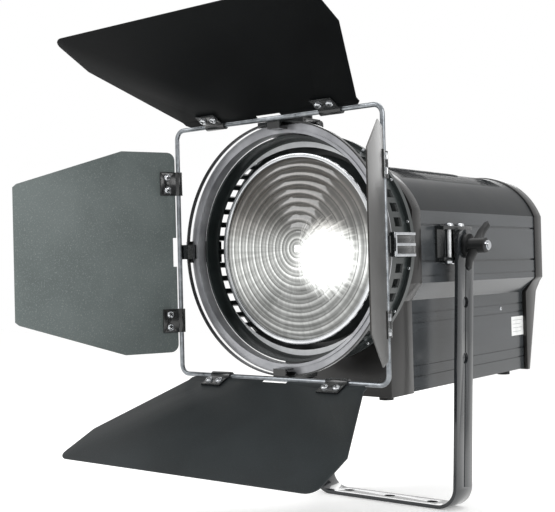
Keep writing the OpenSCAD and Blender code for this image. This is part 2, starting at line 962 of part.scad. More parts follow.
band_outer = 133.5;
band_inner = 132;
tab_front = wire_plane + wire_radius + run;
tab_thick = 2;
tab_rear = tab_front + tab_thick;
band_rear = clip_front - 0.5;
band_front = band_rear - 4;
tab_half = 8;
tab_leg = 2;

// Thin hoop and the four bent tabs that tie it to the wire frame and the ring
module ring_band() {
    color("#151819")
    in_head() {
        round_beam()
            polygon([[band_inner, band_front], [band_outer, band_front],
                     [band_outer, band_rear], [band_inner, band_rear]]);
        for (turn = [0, 90, 180, 270])
            rotate([0, turn, 0]) {
                block([collar_outer + 0.8, tab_front, -tab_half],
                      [frame_half + wire_radius + 0.5, tab_rear, tab_half]);
                block([collar_outer + 0.8, tab_rear, -tab_half],
                      [collar_outer + 0.8 + tab_leg, plate_front, tab_half]);
                // Pad that carries the hoop
                block([band_inner - 0.5, tab_rear, -tab_half],
                      [band_outer + 0.5, band_front, tab_half]);
            }
    }
}

corner_radius = 10;

// Square loop of round wire; its sides are the hinge pins of the leaves
module wire_frame() {
    straight = frame_half - corner_radius;
    color("#c4c7ca")
    in_head() translate([0, wire_plane, 0])
        for (turn = [0, 90, 180, 270])
            rotate([0, turn, 0]) {
                rod_x_axis(wire_radius, -straight, straight, 0, frame_half);
                translate([straight, 0, straight])
                    rotate([-90, -90, 0])
                        rotate_extrude(angle = 90)
                            translate([corner_radius, 0])
                                circle(r = wire_radius);
            }
}

// Put a leaf drawn as (X along the hinge, -Y outwards, Z its back) on a side of the frame
module on_hinge(turn, open) {
    in_head()
        rotate([0, turn, 0])
            translate([0, wire_plane, frame_half])
                rotate([-open, 0, 0])
                    children();
}

leaf_start = wire_radius + 1.6;
notch_half = 16;
notch_depth = 4;
clamp_x = 76;
clamp_width = 26;
clamp_reach = 22;
clamp_plate = 1.6;
knuckle_radius = wire_radius + 2;
clamp_screw_radius = 2;
clamp_screw_x = 7;
clamp_screw_y = 14;

module clamp_holes() {
    for (x = [-1, 1], s = [-1, 1])
        translate([x * clamp_x + s * clamp_screw_x, -clamp_screw_y, -10])
            cylinder(r = clamp_screw_radius, h = 20);
}

module leaf_sheet(outline) {
    difference() {
        translate([0, 0, -leaf_thick / 2])
            linear_extrude(height = leaf_thick)
                difference() {
                    polygon(outline);
                    translate([-notch_half, -leaf_start - notch_depth])
                        square([2 * notch_half, notch_depth + eps]);
                }
        clamp_holes();
    }
}

large_hinge_half = 114;
large_flare_half = 160;
large_flare_start = 14;
large_flare_end = 120;
large_corner = 12;

// Large leaf: flares out, then runs straight to two rounded corners
module large_leaf(turn, open) {
    c = large_corner;
    arc = [for (a = [0 : 15 : 90])
        [large_flare_half - c + c * cos(a), large_reach - c + c * sin(a)]];
    half = concat([[large_hinge_half - 4, leaf_start], [large_hinge_half, leaf_start + 4],
                   [large_hinge_half, large_flare_start], [large_flare_half, large_flare_end]], arc);
    color("#1c2021")
    on_hinge(turn, open)
        leaf_sheet(concat([for (p = half) [p[0], -p[1]]],
                          [for (i = [len(half) - 1 : -1 : 0]) [-half[i][0], -half[i][1]]]));
}

small_hinge_half = 111;
small_tip_half = 72;
small_taper_start = 66;
small_corner = 9;

// Small leaf: rounded at the hinge, then tapers towards its outer edge
module small_leaf(turn, open) {
    c = small_corner;
    arc = [for (a = [-90 : 15 : 0])
        [small_hinge_half - c + c * cos(a), leaf_start + c + c * sin(a)]];
    half = concat(arc, [[small_hinge_half, small_taper_start],
                        [small_tip_half + 1.5, small_reach - 4], [small_tip_half - 2, small_reach]]);
    color("#566060")
    on_hinge(turn, open)
        leaf_sheet(concat([for (p = half) [p[0], -p[1]]],
                          [for (i = [len(half) - 1 : -1 : 0]) [-half[i][0], -half[i][1]]]));
}

// Two folded clamps that hold a leaf and turn on the wire
module leaf_clamps(turn, open) {
    thick = leaf_thick / 2 + clamp_plate;
    color("#151819")
    on_hinge(turn, open)
        for (x = [-1, 1])
            difference() {
                union() {
                    block([x * clamp_x - clamp_width / 2, -clamp_reach, -thick],
                          [x * clamp_x + clamp_width / 2, 0, thick]);
                    rod_x_axis(knuckle_radius, x * clamp_x - clamp_width / 2, x * clamp_x + clamp_width / 2);
                }
                rod_x_axis(wire_radius + run, x * clamp_x - clamp_width, x * clamp_x + clamp_width);
                block([x * clamp_x - clamp_width, -clamp_reach - eps, -leaf_thick / 2],
                      [x * clamp_x + clamp_width, -leaf_start, leaf_thick / 2]);
                clamp_holes();
            }
}

// Pan-head screws with hexagon nuts; the heads face the beam
module leaf_screws(turn, open) {
    thick = leaf_thick / 2 + clamp_plate;
    head_radius = 4;
    color("#d6d8da")
    on_hinge(turn, open)
        for (x = [-1, 1], s = [-1, 1])
            translate([x * clamp_x + s * clamp_screw_x, -clamp_screw_y, 0]) {
                translate([0, 0, -thick])
                    cylinder(r = clamp_screw_radius - run, h = 2 * thick);
                translate([0, 0, -thick - 2.6])
                    cylinder(r = head_radius, h = 2.6);
                translate([0, 0, thick])
                    cylinder(r = head_radius, h = 2.4, $fn = 6);
            }
}

// Turn about the beam that carries each leaf to its side of the frame
top_turn = 0;
right_turn = 90;
bottom_turn = 180;
left_turn = 270;

yoke();
knob(true);  // knob_right
knob(false);  // knob_left
knob_stud(true);  // knob_stud_right
knob_stud(false);  // knob_stud_left
friction_washers();
tilt_bracket(true);  // tilt_bracket_right
tilt_bracket(false);  // tilt_bracket_left
bracket_screws();
front_bezel();
front_cone();
hood();
lens_holder();
fresnel_lens();
lens_ring();
side_panel(true);  // side_panel_right
side_panel(false);  // side_panel_left
arch_cover();
bottom_plate();
rear_bezel();
rear_panel();
rubber_feet();
accessory_clips();
latch_base();
top_latch();
front_bulkhead();
guide_rods();
lead_screw();
zoom_knob();
carriage_plate();
heat_sink();
led_module();
reflector();
fan_frame();
fan_rotor();
driver_box();
control_board();
display_window();
push_button(0);  // button_menu
push_button(1);  // button_up
push_button(2);  // button_down
push_button(3);  // button_enter
power_inlet();
data_sockets();
power_switch();
door_ring();
ring_band();
wire_frame();
large_leaf(top_turn, top_open);  // leaf_top
large_leaf(bottom_turn, bottom_open);  // leaf_bottom
small_leaf(left_turn, left_open);  // leaf_left
small_leaf(right_turn, right_open);  // leaf_right
leaf_clamps(top_turn, top_open);  // clamps_top
leaf_clamps(bottom_turn, bottom_open);  // clamps_bottom
leaf_clamps(left_turn, left_open);  // clamps_left
leaf_clamps(right_turn, right_open);  // clamps_right
leaf_screws(top_turn, top_open);  // screws_top
leaf_screws(bottom_turn, bottom_open);  // screws_bottom
leaf_screws(left_turn, left_open);  // screws_left
leaf_screws(right_turn, right_open);  // screws_right
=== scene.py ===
import json
import math

import bmesh
import bpy
from mathutils import Matrix, Vector

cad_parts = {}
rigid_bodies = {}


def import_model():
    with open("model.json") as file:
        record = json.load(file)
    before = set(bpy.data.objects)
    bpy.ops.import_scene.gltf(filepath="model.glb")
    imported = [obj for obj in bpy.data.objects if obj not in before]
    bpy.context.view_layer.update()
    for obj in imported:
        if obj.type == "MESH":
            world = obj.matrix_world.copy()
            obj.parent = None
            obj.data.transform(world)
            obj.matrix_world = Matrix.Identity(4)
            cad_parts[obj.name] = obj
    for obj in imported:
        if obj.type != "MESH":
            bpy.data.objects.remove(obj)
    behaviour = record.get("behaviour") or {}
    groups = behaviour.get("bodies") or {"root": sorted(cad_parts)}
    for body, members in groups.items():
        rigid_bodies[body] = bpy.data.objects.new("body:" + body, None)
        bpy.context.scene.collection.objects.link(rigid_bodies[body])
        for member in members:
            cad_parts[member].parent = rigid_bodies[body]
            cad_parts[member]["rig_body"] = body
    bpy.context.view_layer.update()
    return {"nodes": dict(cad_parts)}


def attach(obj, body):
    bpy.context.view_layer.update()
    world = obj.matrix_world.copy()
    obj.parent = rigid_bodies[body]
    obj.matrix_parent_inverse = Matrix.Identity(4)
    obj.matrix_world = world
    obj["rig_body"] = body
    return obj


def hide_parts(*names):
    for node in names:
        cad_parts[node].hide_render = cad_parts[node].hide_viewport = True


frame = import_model()
NODES = frame["nodes"]

# Head axes: origin on the tilt axis, -Y along the beam, in millimetres
HEAD = (Matrix.Translation((0, 0, 0.3)) @ Matrix.Rotation(math.radians(4), 4, "X")
        @ Matrix.Scale(0.001, 4))
PLAIN = Matrix.Scale(0.001, 4)

# Sizes shared with the CAD source, in head millimetres
LENS_FRONT, LENS_DEPTH, LENS_RADIUS, LENS_CLEAR = -193.0, 12.0, 99.0, 97.0
LENS_STEPS = 10
LENS_PITCH = LENS_CLEAR / LENS_STEPS
HINGE_Y, HINGE_Z = -231, 135
SKIRT_HALF, BODY_BOTTOM = 67.5, -162
PANEL_FACE = 215
ARCH_RADIUS, ARCH_CENTRE = 87.3, 8.7
BRACKET_TOP, BRACKET_BOTTOM, BRACKET_SCREW_X = 23, -17, 87.25
BUTTON_FIRST, BUTTON_PITCH, BUTTON_Z = 16, 14, 34


# ---- Camera and studio ----

def head_point(x, y, z):
    return HEAD @ Vector((x, y, z))


def make_camera():
    azimuth, elevation, roll = (math.radians(d) for d in (38.1, -0.6, -1.4))
    back = Vector((math.sin(azimuth) * math.cos(elevation),
                   -math.cos(azimuth) * math.cos(elevation), math.sin(elevation)))
    level = Vector((math.cos(azimuth), math.sin(azimuth), 0))
    rise = level.cross(-back)
    right = level * math.cos(roll) + rise * math.sin(roll)
    up = rise * math.cos(roll) - level * math.sin(roll)
    place = back * 1044.0 + right * 3.0 - up * 6.5
    scale = 1.0189
    origin = head_point(*(scale * (place - Vector((0, 227, 1)))))
    turn = HEAD.to_3x3().normalized()
    axes = Matrix((turn @ right, turn @ up, turn @ back)).transposed().to_4x4()
    data = bpy.data.cameras.new("camera")
    data.sensor_width = 36
    data.lens = 1026.7 * 36 / 555
    data.clip_start = 0.02
    camera = bpy.data.objects.new("camera", data)
    camera.matrix_world = Matrix.Translation(origin) @ axes
    bpy.context.scene.collection.objects.link(camera)
    bpy.context.scene.camera = camera


def soft_light(name, place, target, size, power, colour="#ffffff"):
    data = bpy.data.lights.new(name, "AREA")
    data.shape = "RECTANGLE"
    data.size, data.size_y = size
    data.energy = power
    data.color = linear(colour)[:3]
    lamp = bpy.data.objects.new(name, data)
    lamp.location = place
    lamp.rotation_euler = (Vector(target) - Vector(place)).to_track_quat("-Z", "Y").to_euler()
    bpy.context.scene.collection.objects.link(lamp)


def make_studio():
    scene = bpy.context.scene
    scene.view_settings.view_transform = "Standard"
    world = bpy.data.worlds.new("pale_room")
    scene.world = world
    world.use_nodes = True
    tree = world.node_tree
    tree.nodes.clear()
    shade = add(tree, "ShaderNodeBackground", {"Color": linear("#ffffff"), "Strength": 0.85})
    seen = add(tree, "ShaderNodeBackground", {"Color": linear("#ffffff"), "Strength": 1.0})
    ray = add(tree, "ShaderNodeLightPath")
    both = add(tree, "ShaderNodeMixShader", {}, {"Fac": ray.outputs["Is Camera Ray"],
                                                 1: shade.outputs[0], 2: seen.outputs[0]})
    add(tree, "ShaderNodeOutputWorld", {}, {"Surface": both.outputs[0]})
    soft_light("key", (-1.3, -2.0, 1.7), (0, -0.1, 0.3), (1.4, 1.4), 24)
    soft_light("side", (2.4, -0.6, 1.1), (0, 0.05, 0.28), (1.0, 1.8), 22)
    soft_light("top", (0.1, 0.5, 2.4), (0, 0, 0.3), (1.6, 1.6), 16)
    soft_light("back", (-1.2, 2.2, 1.2), (0, 0, 0.3), (1.2, 1.2), 10)
    bm = bmesh.new()
    bmesh.ops.create_grid(bm, x_segments=1, y_segments=1, size=12)
    mesh = bpy.data.meshes.new("floor")
    bm.to_mesh(mesh)
    bm.free()
    floor = bpy.data.objects.new("floor", mesh)
    floor.location.z = -0.0005
    scene.collection.objects.link(floor)
    return floor


# ---- Node helper and colours ----

def linear(hex_code):
    """An sRGB hex colour as the linear values that the shaders take."""
    out = []
    for i in (1, 3, 5):
        c = int(hex_code[i:i + 2], 16) / 255
        out.append(c / 12.92 if c <= 0.04045 else ((c + 0.055) / 1.055) ** 2.4)
    return (*out, 1.0)


def add(tree, kind, settings=None, links=None):
    """Adds one node. Settings name an input socket or a property; links feed input sockets."""
    node = tree.nodes.new(kind)
    for key, value in (settings or {}).items():
        if isinstance(key, int) or key in node.inputs:
            node.inputs[key].default_value = value
        else:
            setattr(node, key, value)
    for key, socket in (links or {}).items():
        tree.links.new(socket, node.inputs[key])
    return node


def new_material(name):
    material = bpy.data.materials.new(name)
    material.use_nodes = True
    tree = material.node_tree
    tree.nodes.clear()
    return material, tree


def surface(name, low, high, patch_mm, rough, grain_mm, grain_depth_mm, stretch=(1, 1, 1),
            detail=3.0, fine=None, **shader):
    """A coated or bare surface: colour and roughness drift over patch_mm, and the bump has
    grains of grain_mm. stretch draws both out along an axis, as rolling and brushing do."""
    material, tree = new_material(name)
    where = add(tree, "ShaderNodeTexCoord")
    mapped = add(tree, "ShaderNodeMapping", {"Scale": stretch}, {"Vector": where.outputs["Object"]})
    patches = add(tree, "ShaderNodeTexNoise", {"Scale": 1000 / patch_mm, "Detail": detail,
                                               "Roughness": 0.6},
                  {"Vector": mapped.outputs[0]})
    grains = add(tree, "ShaderNodeTexNoise", {"Scale": 1000 / grain_mm, "Detail": 2.0},
                 {"Vector": mapped.outputs[0]})
    spread = add(tree, "ShaderNodeMapRange", {"From Min": 0.32, "From Max": 0.68},
                 {"Value": patches.outputs["Fac"]})
    colour = add(tree, "ShaderNodeMix", {"data_type": "RGBA"}, {0: spread.outputs[0]})
    colour.inputs[6].default_value = linear(low)
    colour.inputs[7].default_value = linear(high)
    out_colour = colour.outputs[2]
    if fine:
        speck = add(tree, "ShaderNodeMapRange", {"From Min": 0.55, "From Max": 0.75},
                    {"Value": grains.outputs["Fac"]})
        dots = add(tree, "ShaderNodeMix", {"data_type": "RGBA"},
                   {0: speck.outputs[0], 6: out_colour})
        dots.inputs[7].default_value = linear(fine)
        out_colour = dots.outputs[2]
    gloss = add(tree, "ShaderNodeMapRange", {"To Min": rough[0], "To Max": rough[1]},
                {"Value": patches.outputs["Fac"]})
    bump = add(tree, "ShaderNodeBump", {"Strength": 0.6, "Distance": grain_depth_mm / 1000},
               {"Height": grains.outputs["Fac"]})
    settings = {key.replace("_", " "): value for key, value in shader.items()}
    body = add(tree, "ShaderNodeBsdfPrincipled", settings,
               {"Base Color": out_colour, "Roughness": gloss.outputs[0],
                "Normal": bump.outputs[0]})
    add(tree, "ShaderNodeOutputMaterial", {}, {"Surface": body.outputs[0]})
    return material


def make_finishes():
    """Every finish on the lamp, keyed by what it is."""
    f = {}
    # Grey satin powder coat on steel bar: even, with a faint orange peel
    f["yoke_coat"] = surface("satin_powder_coat_on_steel", "#1d2022", "#282b2e", 60,
                             (0.1, 0.14), 0.9, 0.006, IOR=1.5, Coat_Weight=0.35,
                             Coat_Roughness=0.03)
    # Powder-coated aluminium extrusion: faint draw lines run along its length
    f["panel_coat"] = surface("powder_coated_extrusion", "#2e3133", "#3a3d40", 40,
                              (0.2, 0.3), 1.1, 0.04, (1, 0.12, 1), IOR=1.5, Coat_Weight=0.2,
                              Coat_Roughness=0.14)
    # Heat cover: the same coat, a shade bluer, dulled by warmth
    f["cover_coat"] = surface("powder_coated_heat_cover", "#060b0e", "#0c1216", 45,
                              (0.34, 0.46), 1.0, 0.05, IOR=1.5, Specular_IOR_Level=0.34)
    # Glossy enamel on die castings: deep colour under a clear top layer
    f["enamel"] = surface("gloss_enamel_on_casting", "#0d0c0b", "#151312", 35,
                          (0.24, 0.34), 2.2, 0.06, IOR=1.45, Coat_Weight=0.15,
                          Coat_Roughness=0.12)
    # Black heat-proof paint: satin, slightly brown where thin
    f["heat_paint"] = surface("black_heat_proof_paint", "#1b2020", "#272d2d", 30,
                              (0.28, 0.4), 0.8, 0.05, IOR=1.5, Coat_Weight=0.2,
                              Coat_Roughness=0.2)
    # Barn-door sheet: black texture coat whose fine pimples catch the light
    f["leaf_coat"] = surface("texture_coat_on_sheet_steel", "#050607", "#0a0c0d", 70,
                             (0.5, 0.62), 0.8, 0.09, fine="#111415", IOR=1.45,
                             Specular_IOR_Level=0.08)
    # The lower leaf's coat: the same texture coat painted lighter, a painted reflection of the
    # bright floor it faces
    f["lit_leaf_coat"] = surface("leaf_coat_painted_lighter", "#1c2021", "#272c2e", 90,
                              (0.46, 0.58), 0.8, 0.09, fine="#34393b", IOR=1.45,
                              Specular_IOR_Level=0.3)
    # The far small leaf: the same coat worn smoother, in a browner tone painted for how the light
    # falls on this leaf
    f["toned_leaf_coat"] = surface("leaf_coat_painted_tone", "#171614", "#242320", 80, (0.3, 0.42), 1.3,
                             0.04, fine="#393633", IOR=1.45, Specular_IOR_Level=0.45)
    # The small leaves' coat: the same coat painted a paler grey, a painted sheen where the light
    # falls, with coarse light speckle
    f["sheen_leaf_coat"] = surface("leaf_coat_painted_sheen", "#5c6463", "#6a7271", 80,
                             (0.42, 0.54), 1.3, 0.1, fine="#7f8786", IOR=1.45,
                             Specular_IOR_Level=0.3)
    # Silver paint: metal flakes in a clear binder, half metallic
    f["silver_paint"] = surface("silver_flake_paint", "#8f9094", "#adaeb2", 30,
                                (0.26, 0.36), 0.7, 0.03, Metallic=0.6, Coat_Weight=0.3)
    # Bright zinc on drawn wire: metallic, drawn lines, slightly milky
    f["zinc_wire"] = surface("bright_zinc_on_drawn_wire", "#6f7377", "#989ca0", 9,
                             (0.22, 0.38), 0.6, 0.02, Metallic=1.0)
    # Chrome plate: mirror-like, very few marks
    f["chrome"] = surface("chrome_plate", "#b9bcc0", "#d3d5d8", 12, (0.1, 0.2), 0.6, 0.006,
                          Metallic=1.0)
    # White passivated zinc on a screw's shank: pale and milky
    f["white_zinc"] = surface("white_passivated_zinc", "#c9cbcd", "#e2e4e5", 6, (0.3, 0.42),
                              0.5, 0.02, Metallic=0.25)
    # Pale satin sheet, brushed round: painted highlight standing in for the bright crescents of
    # light inside the hood
    f["baffle"] = surface("pale_sheet_painted_crescent", "#c2c4c6", "#d4d6d8", 14, (0.34, 0.46), 0.7,
                          0.02, Metallic=0.2)
    # Nickel on zinc die casting: warmer and duller than chrome
    f["nickel"] = surface("nickel_plate", "#8f8d88", "#a9a7a1", 10, (0.24, 0.36), 0.6, 0.01,
                          Metallic=1.0)
    # Moulded glass-filled nylon: black, semi-matt, fine spark grain
    f["nylon"] = surface("moulded_glass_filled_nylon", "#060708", "#0c0e0f", 14,
                         (0.34, 0.48), 0.7, 0.06, IOR=1.5, Specular_IOR_Level=0.35)
    # Glossy black pressing: clips and clamps, stoved lacquer
    f["lacquer"] = surface("black_stoved_lacquer", "#0d0f10", "#16191a", 18,
                           (0.2, 0.32), 1.2, 0.04, IOR=1.5, Coat_Weight=0.4,
                           Coat_Roughness=0.12)
    # Moulded rubber: matt, dusty
    f["rubber"] = surface("moulded_rubber", "#0a0a0a", "#161616", 8, (0.7, 0.85), 0.6, 0.08,
                          IOR=1.52)
    # Vulcanised fibre washer: matt dark grey with short fibres
    f["fibre"] = surface("vulcanised_fibre", "#1c1c1e", "#2b2b2d", 5, (0.6, 0.75), 0.8, 0.08,
                         (1, 1, 3))
    # Bare extruded aluminium: pale, with long draw lines
    f["aluminium"] = surface("extruded_aluminium", "#8d9093", "#a8abae", 16, (0.3, 0.45), 0.8,
                             0.03, (1, 0.1, 1), Metallic=1.0)
    # Spun and polished aluminium: bright, a few soft marks
    f["spun"] = surface("polished_spun_aluminium", "#c2c4c7", "#dcdee0", 20, (0.14, 0.24), 0.8,
                        0.01, Metallic=1.0)
    # Ground steel rod: dark bright metal, rings from grinding
    f["ground_steel"] = surface("ground_steel", "#84878a", "#9b9ea1", 8, (0.2, 0.32), 0.5, 0.01,
                                (1, 8, 1), Metallic=1.0)
    # ABS for fan, inlet and buttons: black, finely eroded mould face
    f["abs"] = surface("moulded_abs", "#141516", "#1e2021", 12, (0.36, 0.5), 0.6, 0.05, IOR=1.54)
    # Red polycarbonate rocker: glossy, a little light passes through its skin
    f["rocker"] = surface("red_polycarbonate", "#7d1210", "#941a16", 8, (0.15, 0.25), 0.8, 0.01,
                          IOR=1.58, Subsurface_Weight=0.1, Subsurface_Scale=0.002)
    # Solder mask on glass-fibre board: green over a faint weave
    f["board"] = surface("solder_mask_on_fibreglass", "#12422a", "#1b5636", 6, (0.3, 0.42), 1.2,
                         0.03, IOR=1.5)
    # Potted driver case: pale grey moulding
    f["case"] = surface("grey_moulded_case", "#8b8e91", "#9da0a3", 20, (0.45, 0.6), 0.8, 0.05)
    # Yellow phosphor over the light source: chalky, glows when lit
    f["phosphor"] = surface("yellow_phosphor", "#d8b73a", "#e6cd5c", 4, (0.6, 0.8), 0.5, 0.03,
                            Emission_Color=linear("#fff1d8"), Emission_Strength=6.0)
    # Polyester label: plain white, semi-gloss
    f["label"] = surface("white_polyester_label", "#d6d7d6", "#e6e7e6", 12, (0.3, 0.4), 0.9,
                         0.01, IOR=1.5)
    # Pale grey printing ink: flat
    f["print"] = surface("grey_printing_ink", "#8d8f91", "#9b9d9f", 6, (0.5, 0.6), 0.4, 0.01)
    # Tinted acrylic window over the display: near black and very smooth
    f["window"] = surface("tinted_acrylic", "#05080a", "#0a0f12", 25, (0.05, 0.1), 2.0, 0.002,
                          IOR=1.49, Coat_Weight=0.5, Coat_Roughness=0.03)
    # Lit display bars: cold white glow
    f["glow"] = surface("lit_display", "#b8e4ff", "#d8f2ff", 6, (0.3, 0.4), 0.8, 0.005,
                        Emission_Color=linear("#9edcff"), Emission_Strength=1.6)
    # Shadow inside a screw's cross: raw steel in the dark
    f["recess"] = surface("screw_recess_painted_shade", "#17181a", "#222427", 2, (0.4, 0.6), 0.4, 0.02,
                          Metallic=0.6)
    # Pale studio floor: matt painted board
    f["floor"] = surface("pale_painted_board", "#f4f4f3", "#f8f8f7", 400, (0.7, 0.8), 3.0, 0.02,
                         Emission_Color=linear("#ffffff"), Emission_Strength=0.22)
    f["lens"] = lens_glass_with_painted_glow()
    f["bowl"] = surface("anodised_reflector", "#c9c6c0", "#e0ddd6", 12, (0.12, 0.2), 0.9, 0.01,
                        Metallic=1.0)
    return f


def calc(tree, operation, *terms):
    """One math node; its terms are numbers or sockets."""
    node = add(tree, "ShaderNodeMath", {"operation": operation})
    for socket, term in zip(node.inputs, terms):
        if isinstance(term, (int, float)):
            socket.default_value = term
        else:
            tree.links.new(term, socket)
    return node.outputs[0]


def fade(tree, value, start, stop, low=1.0, high=0.0):
    """Eases from one value at start to another at stop."""
    node = add(tree, "ShaderNodeMapRange",
               {"interpolation_type": "SMOOTHSTEP", "From Min": start, "From Max": stop,
                "To Min": low, "To Max": high}, {"Value": value})
    return node.outputs[0]


# Centre of the painted hot spot, where the source shows through the lens, in head millimetres
SPOT_X, SPOT_Z = 37.0, -11.0


def lens_glass_with_painted_glow():
    """Pressed heat-proof glass whose glow is painted light: emission paints a bright edge on each
    prism, a band across the lens at the source's height, and a white hot spot for the source."""
    material, tree = new_material("pressed_glass_with_painted_glow")
    where = add(tree, "ShaderNodeTexCoord")
    # From the row frame in metres to head axes in millimetres
    head = add(tree, "ShaderNodeMapping",
               {"vector_type": "TEXTURE", "Location": (0, 0, 0.3),
                "Rotation": (math.radians(4), 0, 0), "Scale": (0.001, 0.001, 0.001)},
               {"Vector": where.outputs["Object"]})
    axes = add(tree, "ShaderNodeSeparateXYZ", {}, {0: head.outputs[0]})
    x, z = axes.outputs["X"], axes.outputs["Z"]
    radius = calc(tree, "SQRT", calc(tree, "MULTIPLY_ADD", x, x, calc(tree, "MULTIPLY", z, z)))
    # Painted highlight on each prism: dark riser, bright edge, then a face that dims towards the
    # next riser
    prism = add(tree, "ShaderNodeValToRGB", {}, {"Fac": calc(
        tree, "FRACT", calc(tree, "DIVIDE", radius, LENS_PITCH))})
    stops = [(0.0, 0.16), (0.08, 0.12), (0.16, 1.0), (0.3, 0.85), (0.42, 0.36), (0.66, 0.22),
             (0.82, 0.6), (1.0, 0.2)]
    ramp = prism.color_ramp
    while len(ramp.elements) < len(stops):
        ramp.elements.new(0.5)
    for element, (place, level) in zip(ramp.elements, stops):
        element.position = place
        element.color = (level, level, level, 1)
    # Streaks that run outwards, as the mould leaves them, vary the painted glow
    polar = add(tree, "ShaderNodeCombineXYZ", {}, {
        "X": calc(tree, "MULTIPLY", calc(tree, "ARCTAN2", z, x), 11.0),
        "Y": calc(tree, "MULTIPLY", radius, 0.012)})
    noise = add(tree, "ShaderNodeTexNoise", {"Scale": 1.6, "Detail": 2.0},
                {"Vector": polar.outputs[0]})
    streak = fade(tree, noise.outputs["Fac"], 0.32, 0.68, 0.86, 1.18)
    # Painted light: a band across the lens at the source's height
    dx = calc(tree, "SUBTRACT", x, SPOT_X)
    dz = calc(tree, "SUBTRACT", z, SPOT_Z)
    spread = calc(tree, "MULTIPLY_ADD", calc(tree, "ABSOLUTE", dx), 0.2, 14.0)
    band = fade(tree, calc(tree, "DIVIDE", calc(tree, "ABSOLUTE", dz), spread), 0.3, 1.7)
    # Painted light: the glow is brighter towards the bottom of the lens
    low = fade(tree, z, -80, 75, 0.42, 0.1)
    level = calc(tree, "MULTIPLY_ADD", band, 0.72, low)
    lit = calc(tree, "MULTIPLY", calc(tree, "MULTIPLY", level, prism.outputs["Color"]), streak)
    # Painted hot spot, ragged at its rim, where the source shows through
    reach = calc(tree, "SQRT", calc(tree, "MULTIPLY_ADD", dx, dx, calc(tree, "MULTIPLY", dz, dz)))
    ragged = calc(tree, "MULTIPLY_ADD", noise.outputs["Fac"], 30.0, reach)
    spot = fade(tree, ragged, 34.0, 60.0, 1.3, 0.0)
    # Painted highlight on the four-lobed moulding mark at the centre
    lobes = calc(tree, "COSINE", calc(tree, "MULTIPLY", calc(tree, "ARCTAN2", z, x), 4.0))
    pip_highlight = fade(tree, calc(tree, "MULTIPLY_ADD", lobes, 1.1, radius), 2.6, 4.4, 1.1, 0.0)
    total = calc(tree, "ADD", calc(tree, "ADD", lit, spot), pip_highlight)
    # Colour of the painted glow: near white low on the lens, warmer towards the top
    tint = add(tree, "ShaderNodeMix", {"data_type": "RGBA"}, {0: fade(tree, z, 0, 70, 0.0, 1.0)})
    tint.inputs[6].default_value = linear("#fdfffc")
    tint.inputs[7].default_value = linear("#ead9cd")
    ripple = add(tree, "ShaderNodeTexNoise", {"Scale": 260.0, "Detail": 1.0},
                 {"Vector": where.outputs["Object"]})
    bump = add(tree, "ShaderNodeBump", {"Strength": 0.3, "Distance": 0.00008},
               {"Height": ripple.outputs["Fac"]})
    # Dark glass; all its brightness is painted light fed into the emission
    body = add(tree, "ShaderNodeBsdfPrincipled",
               {"Base Color": linear("#5f605e"), "Roughness": 0.07, "IOR": 1.47,
                "Transmission Weight": 0.3, "Coat Weight": 0.6, "Coat Roughness": 0.04},
               {"Emission Color": tint.outputs[2], "Emission Strength": total,
                "Normal": bump.outputs[0]})
    add(tree, "ShaderNodeOutputMaterial", {}, {"Surface": body.outputs[0]})
    return material


# ---- Building pieces ----

def finish_piece(name, bm, material, body, replaced=(), place=HEAD, sharp=35):
    """Turns a bmesh drawn in millimetres into a piece in the row frame that rides on a body."""
    bmesh.ops.remove_doubles(bm, verts=bm.verts, dist=0.0005)
    bmesh.ops.transform(bm, matrix=place, verts=bm.verts)
    bmesh.ops.recalc_face_normals(bm, faces=bm.faces)
    mesh = bpy.data.meshes.new(name)
    bm.to_mesh(mesh)
    bm.free()
    mesh.shade_smooth()
    mesh.set_sharp_from_angle(angle=math.radians(sharp))
    mesh.materials.append(material)
    piece = bpy.data.objects.new(name, mesh)
    bpy.context.scene.collection.objects.link(piece)
    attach(piece, body)
    if replaced:
        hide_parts(*replaced)
    return piece


def turned(bm, outline, steps=128):
    """Spins a closed (radius, y) outline about the beam axis."""
    verts = [bm.verts.new((r, y, 0)) for r, y in outline]
    edges = [bm.edges.new((a, b)) for a, b in zip(verts, verts[1:] + verts[:1])]
    bmesh.ops.spin(bm, geom=verts + edges, cent=(0, 0, 0), axis=(0, 1, 0),
                   angle=math.tau, steps=steps, use_merge=True, use_duplicate=False)
    bmesh.ops.remove_doubles(bm, verts=bm.verts, dist=0.0005)


def eased_block(bm, low, high, ease=0.4, segments=2, place=Matrix.Identity(4)):
    """A block between two corners with rounded edges."""
    low, high = Vector(low), Vector(high)
    made = bmesh.ops.create_cube(bm, size=1)["verts"]
    size = Matrix.Diagonal((*(high - low), 1))
    bmesh.ops.transform(bm, matrix=place @ Matrix.Translation((low + high) / 2) @ size, verts=made)
    edges = list({e for v in made for e in v.link_edges})
    if ease:
        bmesh.ops.bevel(bm, geom=edges, offset=ease, offset_type="OFFSET", segments=segments,
                        profile=0.5, affect="EDGES", clamp_overlap=True, material=-1)


def facing(point, normal):
    """A matrix that stands a piece on a point with its Z along the normal."""
    turn = Vector(normal).to_track_quat("Z", "Y").to_matrix().to_4x4()
    return Matrix.Translation(point) @ turn


def pan_head(bm, point, normal, radius, height, sides=20, domed=True):
    """A screw head with a rounded rim, or a hexagon nut with eased corners."""
    made = bmesh.ops.create_cone(bm, cap_ends=True, segments=sides, radius1=radius,
                                 radius2=radius, depth=height)["verts"]
    bmesh.ops.transform(bm, matrix=facing(point, normal) @ Matrix.Translation((0, 0, height / 2)),
                        verts=made)
    way = Vector(normal).normalized()
    top = [e for e in {e for v in made for e in v.link_edges}
           if all((v.co - Vector(point)).dot(way) > height * 0.9 for v in e.verts)]
    bmesh.ops.bevel(bm, geom=top, offset=height * (0.62 if domed else 0.22),
                    offset_type="OFFSET", segments=3 if domed else 1, profile=0.5,
                    affect="EDGES", clamp_overlap=True, material=-1)


